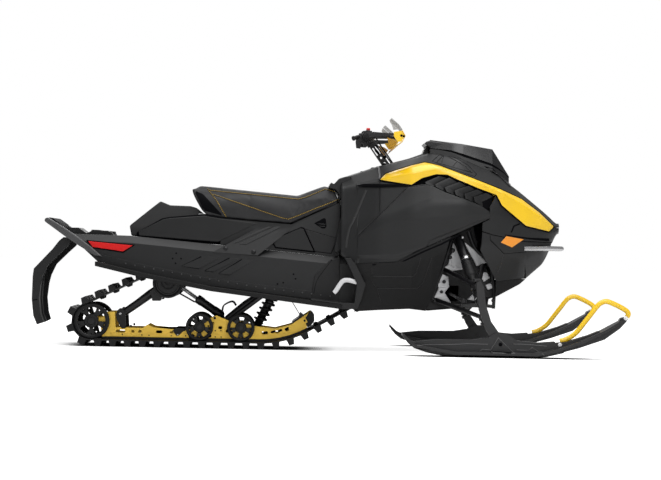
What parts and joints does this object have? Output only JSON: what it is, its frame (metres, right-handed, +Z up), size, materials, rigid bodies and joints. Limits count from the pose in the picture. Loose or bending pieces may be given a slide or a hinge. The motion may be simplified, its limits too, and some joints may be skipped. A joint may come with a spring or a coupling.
{
  "type": "snowmobile",
  "caption": "Single-seat trail snowmobile with a rear track on slide rails, two steerable skis on double A-arms, handlebar with hand guards and a hollow panelled front body.",
  "frame": {"origin": "on the ground below the middle of the overall length, on the middle plane", "axes": "+X forward to the ski tips, +Y to the rider's left, +Z up"},
  "size_m": [2.8791, 1.15, 1.138],
  "materials": {
    "body_black": "satin moulded black plastic",
    "trim_black": "matt black plastic",
    "tunnel_black": "powder-coated satin black",
    "yellow": "glossy bright yellow",
    "yellow_metal": "glossy yellow paint",
    "gold": "gold anodised look paint",
    "steel": "bright steel",
    "black_steel": "gloss black paint",
    "cast": "cast silver grey",
    "engine": "dark casting",
    "rubber": "matt track rubber",
    "grip_rubber": "soft rubber",
    "wheel": "black nylon",
    "seat_cover": "grained vinyl",
    "ski": "satin dark grey plastic",
    "red_lens": "red reflector",
    "amber_lens": "amber reflector",
    "lamp_glass": "clear lamp cover",
    "smoke": "smoke-grey clear plastic",
    "visor": "dark glossy visor"
  },
  "bodies": {
    "chassis": {"tunnel": "tunnel_black", "running_boards": "tunnel_black", "foot_wells": "trim_black", "toe_holds": "steel", "rear_bumper": "tunnel_black", "snow_flap": "trim_black", "tail_deck": "trim_black", "tail_lamp": "red_lens", "reflectors_red": "red_lens", "tunnel_cover": "trim_black", "seat_base": "body_black", "seat": "seat_cover", "console": "body_black", "hood": "body_black", "side_stripes": "yellow", "side_vents": "trim_black", "nose_upper": "body_black", "nose_lower": "body_black", "belly_pan": "body_black", "side_panel_right": "body_black", "side_panel_left": "body_black", "reflectors_amber": "amber_lens", "headlamps": "lamp_glass", "bulkhead": "cast", "engine_block": "engine", "windshield": "visor", "front_bumper": "steel", "column_bearing": "trim_black", "track": "rubber", "rear_idlers": "wheel", "rail_wheels": "wheel", "drive_axle": "wheel", "skid_rails": "gold", "slide_shoes": "trim_black", "rear_arm": "black_steel", "front_arm": "black_steel", "skid_shocks": "black_steel", "limiter_strap": "rubber", "upper_arms": "black_steel", "lower_arms": "black_steel", "front_shocks": "black_steel", "gauge": "trim_black"},
    "steering": {"steering_post": "black_steel", "handlebar": "black_steel", "grips": "grip_rubber", "bar_controls": "trim_black", "hand_guards": "yellow", "guard_shields": "smoke", "bar_cables": "trim_black"},
    "knuckle_right": {"spindle_right": "black_steel"},
    "ski_set_right": {"ski_right": "ski", "ski_loop_right": "yellow_metal"},
    "link_right": {"tie_rod_right": "black_steel"},
    "knuckle_left": {"spindle_left": "black_steel"},
    "ski_set_left": {"ski_left": "ski", "ski_loop_left": "yellow_metal"},
    "link_left": {"tie_rod_left": "black_steel"}
  },
  "joints": [
    {"name": "steer", "type": "hinge", "parent": "chassis", "child": "steering", "pos_m": [0.204, 0, 1.044], "axis": [-0.5778, 0, 0.8162], "range_deg": [-35, 35]},
    {"name": "kingpin_right", "type": "hinge", "parent": "chassis", "child": "knuckle_right", "pos_m": [0.742, -0.445, 0.185], "axis": [-0.17, 0.0981, 0.9806], "range_deg": [-28.5, 28.5]},
    {"name": "ski_pitch_right", "type": "hinge", "parent": "knuckle_right", "child": "ski_set_right", "pos_m": [0.82, -0.5, 0.063], "axis": [0, 1, 0], "range_deg": [-12, 12], "stiffness_Nm_per_rad": 120},
    {"name": "tie_rod_swing_right", "type": "hinge", "parent": "knuckle_right", "child": "link_right", "pos_m": [0.648, -0.452, 0.262], "axis": [-0.17, 0.0981, 0.9806], "range_deg": [-28.5, 28.5]},
    {"name": "kingpin_left", "type": "hinge", "parent": "chassis", "child": "knuckle_left", "pos_m": [0.742, 0.445, 0.185], "axis": [-0.17, -0.0981, 0.9806], "range_deg": [-28.5, 28.5]},
    {"name": "ski_pitch_left", "type": "hinge", "parent": "knuckle_left", "child": "ski_set_left", "pos_m": [0.82, 0.5, 0.063], "axis": [0, 1, 0], "range_deg": [-12, 12], "stiffness_Nm_per_rad": 120},
    {"name": "tie_rod_swing_left", "type": "hinge", "parent": "knuckle_left", "child": "link_left", "pos_m": [0.648, 0.452, 0.262], "axis": [-0.17, -0.0981, 0.9806], "range_deg": [-28.5, 28.5]}
  ],
  "couplings": [
    {"joint": "kingpin_right", "follows": "steer", "ratio": 0.8},
    {"joint": "tie_rod_swing_right", "follows": "steer", "ratio": -0.8},
    {"joint": "kingpin_left", "follows": "steer", "ratio": 0.8},
    {"joint": "tie_rod_swing_left", "follows": "steer", "ratio": -0.8}
  ]
}
